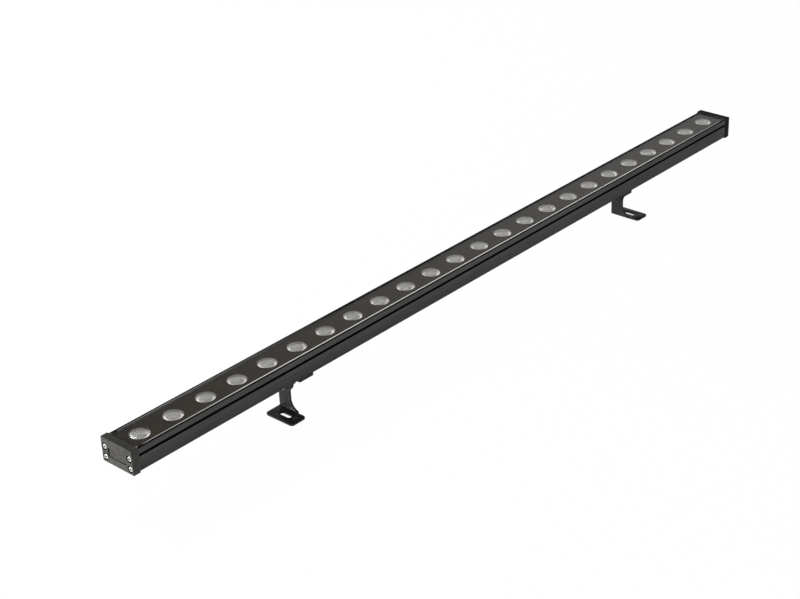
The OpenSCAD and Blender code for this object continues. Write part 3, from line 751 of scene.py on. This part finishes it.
class WASHER_OT_window(bpy.types.Operator):
    """Models the glass pane with its ground edge"""
    bl_idname = "washer.window"
    bl_label = "Glass pane"

    def execute(self, context):
        low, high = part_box("glass_cover")
        sizes = context.scene.washer_sizes
        pane = block("glass_pane", low, high)
        pick(pane)
        bpy.ops.object.mode_set(mode="EDIT")
        select_faces(pane, lambda face: face.normal.z > FACING)
        bpy.ops.mesh.inset(thickness=sizes.pane_edge)
        half = (high.y - low.y) / 2
        # The ground border slopes down to the two long sides
        select_edges(pane, lambda a, b: all(
            v.co.z > high.z - MM and abs(v.co.y - BAR_Y) > half - SKIN for v in (a, b)))
        bpy.ops.transform.translate(value=(0, 0, -sizes.pane_fall))
        bpy.ops.object.mode_set(mode="OBJECT")
        bevel_edges(pane, lambda a, b: max(a.co.z, b.co.z) < low.z + SKIN, sizes.pane_edge / 4)
        pane.data.materials.append(FINISHES["glass"])
        pane.data.materials.append(FINISHES["ground"])
        for face in pane.data.polygons:
            face.material_index = 0 if abs(face.normal.z) > 0.96 else 1
        kept(pane, "lamp", [], ["glass_cover"], smooth=20)
        return {"FINISHED"}


class WASHER_OT_lenses(bpy.types.Operator):
    """Models one lens and repeats it along the bar"""
    bl_idname = "washer.lenses"
    bl_label = "Lenses"

    def execute(self, context):
        low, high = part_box("lenses")
        depth = (high.z - low.z) / MM
        hollow = depth * 0.66
        lens = turned("lens_row", [
            (0, -0.35), (1.6, -0.38), (3.1, -0.5), (4.6, -0.74), (6.0, -1.05), (6.5, -1.3),
            (6.8, -1.36), (7.1, -1.34), (7.8, -1.58), (8.7, -1.9), (9.3, -2.15), (9.5, -2.2),
            (9.6, -1.2), (9.7, -0.3), (9.9, 0), (10.7, 0), (10.92, -0.08), (11, -0.28),
            (11, -0.9), (10.9, -1.0), (10.1, -2.0), (7.4, -depth * 0.5), (4.7, -depth + 0.1),
            (4.5, -depth), (2.6, -depth), (2.6, -hollow - 1.2), (2.0, -hollow - 0.4),
            (1.2, -hollow - 0.1), (0, -hollow),
        ])
        settle(lens, (FIRST_LIGHT, BAR_Y, high.z))
        for finish in ("optic", "ring", "rim"):
            lens.data.materials.append(FINISHES[finish])
        for face in lens.data.polygons:
            radius = math.hypot(face.center.x - FIRST_LIGHT, face.center.y - BAR_Y)
            face.material_index = 0 if radius < OPTIC_R else 1 if radius < RING_R else 2
        repeated(lens, LIGHTS, (PITCH, 0, 0))
        kept(lens, "lamp", [], ["lenses"], smooth=25)
        return {"FINISHED"}


class WASHER_OT_end_caps(bpy.types.Operator):
    """Models the two end caps with their sunk panels and counterbores"""
    bl_idname = "washer.end_caps"
    bl_label = "End caps"

    def execute(self, context):
        edge = context.scene.washer_sizes.cap_edge
        for side in SIDES:
            cap = traced(side + "_end_cap", side + "_cap_casting")
            softened(cap, edge, 2, 30)
            # The far cap gets the darker copy of the coat, which is painted shade
            cap.data.materials.append(FINISHES["cap" if side == "left" else "far_cap"])
            cap.data.materials.append(FINISHES["deep"])
            low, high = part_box(side + "_end_cap")
            outer = (low.x, high.x)[SIDES.index(side)]
            panel_z = (low.z + high.z) / 2 - PANEL_DROP
            low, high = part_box(side + "_end_screws")
            bores = [(y, z) for y in (low.y + HEAD_R, high.y - HEAD_R)
                     for z in (low.z + HEAD_R, high.z - HEAD_R)]
            # The rims of the counterbores flare outwards
            for vertex in cap.data.vertices:
                for y, z in bores:
                    away = Vector((0, vertex.co.y - y, vertex.co.z - z))
                    by_face = abs(vertex.co.x - outer) < BORE_FLARE / 2
                    if by_face and away.length < BORE_R + BORE_FLARE / 2:
                        vertex.co += away.normalized() * BORE_FLARE
            # Painted shade: the walls of the panel and of the counterbores get the near-black
            for face in cap.data.polygons:
                place = face.center
                if abs(face.normal.x) > FACING:
                    continue
                in_panel = (abs(place.y - BAR_Y) < PANEL_HALF_Y
                            and abs(place.z - panel_z) < PANEL_HALF_Z
                            and 0.03 * MM < abs(place.x - outer) < PANEL_DEPTH)
                aside = min(math.hypot(place.y - y, place.z - z) for y, z in bores)
                if in_panel or aside < BORE_R + BORE_FLARE + 2 * SKIN:
                    face.material_index = 1
            kept(cap, "lamp", [], [side + "_end_cap"])
        return {"FINISHED"}


def socket_screw(name, length, knurls):
    """A socket head screw along Z, head upwards from z = 0, its shank's length in mm."""
    r, shank, head_h = SCREW_HEAD_D / 2, SCREW_D / 2, SCREW_HEAD_H
    chamfer = 0.3
    screw = turned(name, [
        (0, head_h), (r - 2 * chamfer, head_h), (r - chamfer, head_h - 0.12),
        (r, head_h - 0.5), (r, 0.2), (r - 0.2, 0), (shank, 0), (shank, -0.6),
        (shank - 0.12, -0.9), (shank - 0.12, -length + 0.5), (shank - 0.5, -length), (0, -length),
    ], segments=2 * knurls)
    # Knurling: every second line round the head is set in
    for vertex in screw.data.vertices:
        side = math.hypot(vertex.co.x, vertex.co.y) / MM
        if abs(side - r) < 0.02:
            turn = math.atan2(vertex.co.y, vertex.co.x) / (2 * math.pi) * 2 * knurls
            if round(turn) % 2:
                vertex.co.x *= 1 - KNURL_DEPTH / r
                vertex.co.y *= 1 - KNURL_DEPTH / r
    socket = hexagon("socket_cut", SCREW_SOCKET, head_h * 0.45, head_h + 1)
    combine(screw, socket, "DIFFERENCE")
    # Painted shade: the socket and the knurled rim of the head get darker steel than its face
    for finish in ("bright_steel", "socket_steel", "knurl_shade_steel"):
        screw.data.materials.append(FINISHES[finish])
    for face in screw.data.polygons:
        side = math.hypot(face.center.x, face.center.y) / MM
        sunk = side < SCREW_SOCKET / 2 and face.center.z < (head_h - 0.05) * MM
        face.material_index = 1 if sunk else 2 if side > r - 0.45 else 0
    return screw


class WASHER_OT_end_screws(bpy.types.Operator):
    """Models one socket head screw and puts four in each end cap"""
    bl_idname = "washer.end_screws"
    bl_label = "End screws"

    def execute(self, context):
        knurls = context.scene.washer_sizes.knurls
        low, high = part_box("left_end_screws")
        length = (high.x - low.x) / MM
        screw = socket_screw("left_cap_screws", length - SCREW_HEAD_H, knurls)
        softened(screw, 0.06 * MM, 1, 40)
        settle(screw, (low.x + SCREW_HEAD_H * MM, low.y + HEAD_R, low.z + HEAD_R), ALONG_MINUS_X)
        repeated(screw, 2, (0, high.y - low.y - 2 * HEAD_R, 0))
        repeated(screw, 2, (0, 0, high.z - low.z - 2 * HEAD_R))
        other = half_turn(copy_of(screw, "right_cap_screws"))
        for side, obj in zip(SIDES, (screw, other)):
            kept(obj, "lamp", [], [side + "_end_screws"])
        return {"FINISHED"}


class WASHER_OT_gland(bpy.types.Operator):
    """Models the cable gland: flanged body, rubber insert and nut"""
    bl_idname = "washer.gland"
    bl_label = "Cable gland"

    def execute(self, context):
        low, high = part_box("gland_body")
        start = low.x
        axis_z = (low.z + high.z) / 2
        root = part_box("gland_ring")[1].x
        thread_end = (root - start) / MM
        flange_end = thread_end + FLANGE_H
        top = (high.x - start) / MM
        body = turned("gland_casting", [
            (GLAND_BORE_R, 0), (5.6, 0), (GLAND_THREAD_R, 0.4), (GLAND_THREAD_R, thread_end + 1),
            (5.5, thread_end + 1), (5.5, top - 0.3), (5.2, top), (4.45, top),
            (4.45, flange_end), (GLAND_BORE_R, flange_end),
        ], segments=64, closed=True)
        flange = hexagon("gland_flange", GLAND_CORNERS, thread_end, flange_end)
        round_off = turned("gland_round_off", [
            (0, thread_end), (7.5, thread_end), (8.1, thread_end + 0.4),
            (8.1, flange_end - 0.4), (7.5, flange_end), (0, flange_end)], segments=64)
        combine(flange, round_off, "INTERSECT")
        hole = turned("gland_hole", [(0, thread_end - 1), (5, thread_end - 1),
                                     (5, flange_end + 1), (0, flange_end + 1)], segments=64)
        combine(flange, hole, "DIFFERENCE")
        body = combine(body, flange, "UNION")
        settle(body, (start, BAR_Y, axis_z), ALONG_X)

        low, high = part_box("gland_nut")
        length = (high.x - low.x) / MM
        nut = hexagon("gland_cap_nut", GLAND_CORNERS, 0, length)
        shell = turned("gland_nut_shell", [
            (0, 0), (7.5, 0), (8.1, 0.5), (8.1, length * 0.5), (7.6, length * 0.62),
            (6.4, length * 0.82), (5.1, length - 0.5), (4.2, length - 0.05), (3.8, length),
            (0, length)], segments=64)
        combine(nut, shell, "INTERSECT")
        bore = turned("gland_nut_bore", [
            (0, -1), (5.55, -1), (5.55, 5.05), (3.4, 5.6), (GLAND_BORE_R, 6.2),
            (GLAND_BORE_R, length - 0.5), (3.4, length + 0.1), (3.4, length + 1),
            (0, length + 1)], segments=64)
        combine(nut, bore, "DIFFERENCE")
        softened(nut, 0.15 * MM, 2, 25)
        settle(nut, (low.x, BAR_Y, axis_z), ALONG_X)

        low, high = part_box("gland_seal")
        length = (high.x - low.x) / MM
        seal = turned("gland_insert", [
            (CABLE_R, 0.3), (CABLE_R + 0.3, 0), (4.2, 0), (4.4, 0.2), (4.4, length - 0.2),
            (4.2, length), (CABLE_R + 0.4, length), (CABLE_R, length - 0.4)],
            segments=64, closed=True)
        settle(seal, (low.x, BAR_Y, axis_z), ALONG_X)
        kept(body, "lamp", [FINISHES["nickel"]], ["gland_body"])
        kept(nut, "lamp", [FINISHES["nickel"]], ["gland_nut"])
        kept(seal, "lamp", [FINISHES["rubber"]], ["gland_seal"])
        return {"FINISHED"}


class WASHER_OT_sheet_metal(bpy.types.Operator):
    """Rounds the edges of the clamps and feet"""
    bl_idname = "washer.sheet_metal"
    bl_label = "Clamps and feet"

    def execute(self, context):
        edge = context.scene.washer_sizes.sheet_edge
        for side in SIDES:
            for node, body in (("_clamp", "_bracket"), ("_foot", "_foot")):
                piece = traced(side + node, side + node + "_sheet")
                softened(piece, edge, 3, 30)
                # Painted shade: on the feet, faces that look across the bar get the clamps' coat
                # instead of the powder
                piece.data.materials.append(FINISHES["sheet" if node == "_clamp" else "powder"])
                piece.data.materials.append(FINISHES["sheet"])
                for face in piece.data.polygons:
                    across = abs(face.normal.y) > 0.5
                    face.material_index = 1 if across else 0
                kept(piece, side + body, [], [side + node])
        return {"FINISHED"}


def threaded_shank(name, radius, pitch, start, end, thread_start):
    """A shank along Z from start to end in mm, with a thread from thread_start on."""
    rings = [(0, start), (radius - 0.02, start)]
    step = pitch / 6
    count = int((end - 0.5 - thread_start) / step)
    rings += [(radius - 0.02, thread_start + i * step) for i in range(count + 1)]
    rings += [(radius - 0.7, end), (0, end)]
    shank = turned(name, rings, segments=36)
    depth = 0.6 * pitch
    for vertex in shank.data.vertices:
        height = vertex.co.z / MM
        side = math.hypot(vertex.co.x, vertex.co.y) / MM
        if side < radius * 0.9 or height < thread_start - 0.001:
            continue
        angle = math.atan2(vertex.co.y, vertex.co.x) / (2 * math.pi)
        phase = (height / pitch - angle) % 1.0
        groove = depth * (1 - abs(2 * phase - 1))
        fade = min(1, (height - thread_start) / pitch)
        scale = 1 - groove * fade / side
        vertex.co.x *= scale
        vertex.co.y *= scale
    return shank


class WASHER_OT_pivots(bpy.types.Operator):
    """Models the pivot bolts, washers and nuts"""
    bl_idname = "washer.pivots"
    bl_label = "Pivot hardware"

    def execute(self, context):
        pitch = context.scene.washer_sizes.thread_pitch / MM
        low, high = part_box("left_pivot_bolt")
        axis_z = (low.z + high.z) / 2
        length = (high.x - low.x) / MM
        corner = BOLT_CORNERS / 2
        head = hexagon("left_bolt_piece", BOLT_CORNERS, 0, BOLT_HEAD_H)
        combine(head, turned("bolt_dome", [
            (0, 0), (corner - 0.75, 0), (corner + 0.05, 0.46),
            (corner + 0.05, BOLT_HEAD_H - 0.2), (4.9, BOLT_HEAD_H - 0.2),
            (4.7, BOLT_HEAD_H), (0, BOLT_HEAD_H)], segments=64), "INTERSECT")
        softened(head, 0.08 * MM, 1, 30)
        shank = threaded_shank("bolt_shank", BOLT_D / 2, pitch, BOLT_HEAD_H - 1, length,
                               BOLT_HEAD_H + 9)
        head.data.materials.append(FINISHES["bright_steel"])
        # Painted shade: the shank gets the clamps' black, unlike the bright head
        shank.data.materials.append(FINISHES["sheet"])
        bolt = joined(head, shank)
        bolt.name = "left_bolt_piece"
        settle(bolt, (low.x, BAR_Y, axis_z), ALONG_X)

        pieces = {"pivot_bolt": bolt}
        bore = PIVOT_BORE_R
        low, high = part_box("left_pivot_nut")
        nut_h = (high.x - low.x) / MM
        nut = hexagon("left_nut_piece", BOLT_CORNERS, 0, nut_h)
        combine(nut, turned("nut_dome", [
            (0, 0), (corner - 0.75, 0), (corner + 0.05, 0.46), (corner + 0.05, nut_h - 0.46),
            (corner - 0.75, nut_h), (0, nut_h)], segments=64), "INTERSECT")
        combine(nut, turned("nut_bore", [
            (0, -1), (bore + 0.4, -1), (bore + 0.4, 0), (bore, 0.4), (bore, nut_h - 0.4),
            (bore + 0.4, nut_h), (bore + 0.4, nut_h + 1), (0, nut_h + 1)],
            segments=48), "DIFFERENCE")
        softened(nut, 0.08 * MM, 1, 30)
        pieces["pivot_nut"] = settle(nut, (low.x, BAR_Y, axis_z), ALONG_X)

        low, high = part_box("left_flat_washer")
        t = (high.x - low.x) / MM
        washer = turned("left_washer_piece", [
            (bore, 0.12), (bore + 0.12, 0), (5.8, 0), (6, 0.2), (6, t - 0.12), (5.88, t),
            (bore + 0.2, t), (bore, t - 0.2)], segments=64, closed=True)
        pieces["flat_washer"] = settle(washer, (low.x, BAR_Y, axis_z), ALONG_X)

        low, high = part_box("left_lock_washer")
        t = (high.x - low.x) / MM
        lock = turned("left_lock_piece", [
            (bore, 0.15), (bore + 0.15, 0), (5.05, 0), (5.2, 0.15), (5.2, t - 0.15), (5.05, t),
            (bore + 0.15, t), (bore, t - 0.15)], segments=64, closed=True)
        slit = block("lock_slit", (2 * MM, -0.6 * MM, -MM), (7 * MM, 0.6 * MM, (t + 1) * MM))
        slit = settle(slit, (0, 0, 0), (math.radians(20), 0, math.pi / 2))
        combine(lock, slit, "DIFFERENCE")
        pieces["lock_washer"] = settle(lock, (low.x, BAR_Y, axis_z), ALONG_X)

        # Nuts and washers get the clamps' black, partly as their own finish and partly as painted
        # shade under the bar
        for node, piece in pieces.items():
            other = half_turn(copy_of(piece, piece.name.replace("left", "right")))
            for side, obj in zip(SIDES, (piece, other)):
                kept(obj, side + "_bracket", [FINISHES["sheet"]], [side + "_" + node])
        return {"FINISHED"}


class WASHER_OT_clamp_screws(bpy.types.Operator):
    """Models the countersunk clamp screws"""
    bl_idname = "washer.clamp_screws"
    bl_label = "Clamp screws"

    def execute(self, context):
        low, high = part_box("left_clamp_screws")
        height = (high.z - low.z) / MM
        head_d = (high.y - low.y) / MM
        r = head_d / 2
        screw = turned("left_clamp_screw_pair", [
            (0, 0), (r - 0.15, 0), (r, 0.12), (2, r - 2 + 0.1), (2, height - 0.4),
            (1.7, height), (0, height)], segments=48)
        combine(screw, hexagon("clamp_socket", 2.9, -1, 1.3), "DIFFERENCE")
        softened(screw, 0.05 * MM, 1, 40)
        settle(screw, (low.x + r * MM, (low.y + high.y) / 2, low.z))
        repeated(screw, 2, (high.x - low.x - 2 * r * MM, 0, 0))
        other = half_turn(copy_of(screw, "right_clamp_screw_pair"))
        for side, obj in zip(SIDES, (screw, other)):
            kept(obj, side + "_bracket", [FINISHES["steel"]],
                 [side + "_clamp_screws"])
        return {"FINISHED"}


# Stage

# Where the photograph was taken from, and its picture's axes
CAMERA_PLACE = (-1.2761, -1.0778, 0.8889)
CAMERA_RIGHT = (0.66625, -0.74467, -0.03975)
CAMERA_DOWN = (-0.37198, -0.28566, -0.88319)
CAMERA_AHEAD = (0.64633, 0.60321, -0.46732)
# Focal length as a share of the picture's width
FOCAL_SHARE = 1687.6 / 800
SENSOR = 36
# The heights between which the room's brighter lower part ends
HORIZON_BAND = (0.43, 0.52)
# The share of the floor that is seen as plain white; the rest is lit and shaded
FLOOR_GLOW = 0.975
# The middle of the bar, which two of the lamps face
MIDDLE = (0, 0, 0.05)


def aimed_lamp(name, place, target, size_x, size_y, power, mirrored=False):
    """A rectangular lamp that faces a point; the glass mirrors it only if asked."""
    clear_selection()
    way = (Vector(target) - Vector(place)).to_track_quat("-Z", "Y")
    bpy.ops.object.light_add(type="AREA", location=place, rotation=way.to_euler())
    lamp = bpy.context.object
    lamp.name = name
    lamp.data.shape = "RECTANGLE"
    lamp.data.size = size_x
    lamp.data.size_y = size_y
    lamp.data.energy = power
    lamp.visible_glossy = mirrored
    return lamp


def seen_directly(s):
    """A socket that is 1 for what the camera sees, directly, mirrored or through glass."""
    path = s.node("ShaderNodeLightPath").outputs
    mirrored = s.math("MAXIMUM", path["Is Camera Ray"], path["Is Glossy Ray"])
    return s.math("MAXIMUM", mirrored, path["Is Transmission Ray"])


class WASHER_OT_stage(bpy.types.Operator):
    """Sets up the floor, the lamps, the surroundings and the camera"""
    bl_idname = "washer.stage"
    bl_label = "Stage"

    def execute(self, context):
        settings = context.scene.washer_stage
        clear_selection()
        bpy.ops.mesh.primitive_plane_add(size=40, location=(0, 0, -SKIN))
        floor = bpy.context.object
        floor.name = "floor"
        s = Shader("floor_white", roughness=0.9)
        s.tones(s.noise(2), shade(settings.floor, 0.995), settings.floor)
        s.set(s.principled, Specular_IOR_Level=0)
        glow = s.node("ShaderNodeEmission")
        s.set(glow, Color=(1, 1, 1, 1), Strength=1.0)
        s.surface(s.math("MULTIPLY", seen_directly(s), FLOOR_GLOW), glow.outputs["Emission"])
        floor.data.materials.append(s.material)

        world = bpy.data.worlds.new("white_room")
        context.scene.world = world
        world.use_nodes = True
        nodes, links = world.node_tree.nodes, world.node_tree.links
        back = nodes["Background"]
        back.inputs["Color"].default_value = (1, 1, 1, 1)
        way = nodes.new("ShaderNodeTexCoord")
        parts = nodes.new("ShaderNodeSeparateXYZ")
        band = nodes.new("ShaderNodeMapRange")
        band.inputs["From Min"].default_value = HORIZON_BAND[0]
        band.inputs["From Max"].default_value = HORIZON_BAND[1]
        band.inputs["To Min"].default_value = settings.sky + settings.horizon
        band.inputs["To Max"].default_value = settings.sky
        links.new(way.outputs["Generated"], parts.inputs["Vector"])
        links.new(parts.outputs["Z"], band.inputs["Value"])
        links.new(band.outputs["Result"], back.inputs["Strength"])

        aimed_lamp("end_lamp", (-2.2, 0.9, 0.13), (-0.4, 0, 0.05), 0.8, 0.24,
                   settings.key_power, mirrored=True)
        aimed_lamp("back_lamp", (-0.4, 1.8, 1.8), MIDDLE, 0.9, 0.7, settings.back_power)
        aimed_lamp("front_lamp", (-0.6, -2.1, 0.55), MIDDLE, 1.8, 0.8, settings.fill_power)

        clear_selection()
        bpy.ops.object.camera_add()
        camera = bpy.context.object
        camera.name = "photo_camera"
        right, down, ahead = (Vector(v) for v in (CAMERA_RIGHT, CAMERA_DOWN, CAMERA_AHEAD))
        turn = Matrix((right, -down, -ahead)).transposed().to_4x4()
        camera.matrix_world = Matrix.Translation(CAMERA_PLACE) @ turn
        camera.data.sensor_fit = "HORIZONTAL"
        camera.data.sensor_width = SENSOR
        camera.data.lens = SENSOR * FOCAL_SHARE
        camera.data.clip_end = 100
        context.scene.camera = camera
        context.scene.view_settings.view_transform = "Standard"
        return {"FINISHED"}


class WASHER_PT_panel(bpy.types.Panel):
    bl_label = "Wall washer"
    bl_idname = "WASHER_PT_panel"
    bl_space_type = "VIEW_3D"
    bl_region_type = "UI"
    bl_category = "Wall washer"

    def draw(self, context):
        for group in GROUPS:
            box = self.layout.box()
            settings = getattr(context.scene, group)
            for key in settings.bl_rna.properties.keys():
                if key not in ("rna_type", "name"):
                    box.prop(settings, key)
        for step in STEPS:
            self.layout.operator(step.bl_idname)


GROUPS = {
    "washer_colours": WasherColours,
    "washer_sizes": WasherSizes,
    "washer_stage": WasherStage,
}
STEPS = (
    WASHER_OT_finishes, WASHER_OT_extrusion, WASHER_OT_window, WASHER_OT_lenses,
    WASHER_OT_end_caps, WASHER_OT_end_screws, WASHER_OT_gland, WASHER_OT_sheet_metal,
    WASHER_OT_pivots, WASHER_OT_clamp_screws, WASHER_OT_stage,
)


def register():
    for cls in (*GROUPS.values(), *STEPS, WASHER_PT_panel):
        bpy.utils.register_class(cls)
    for name, cls in GROUPS.items():
        setattr(bpy.types.Scene, name, PointerProperty(type=cls))


def unregister():
    for name in GROUPS:
        delattr(bpy.types.Scene, name)
    for cls in reversed((*GROUPS.values(), *STEPS, WASHER_PT_panel)):
        bpy.utils.unregister_class(cls)


def main():
    register()
    for step in STEPS:
        area, action = step.bl_idname.split(".")
        getattr(getattr(bpy.ops, area), action)()
    clear_selection()


if __name__ == "__main__":
    main()
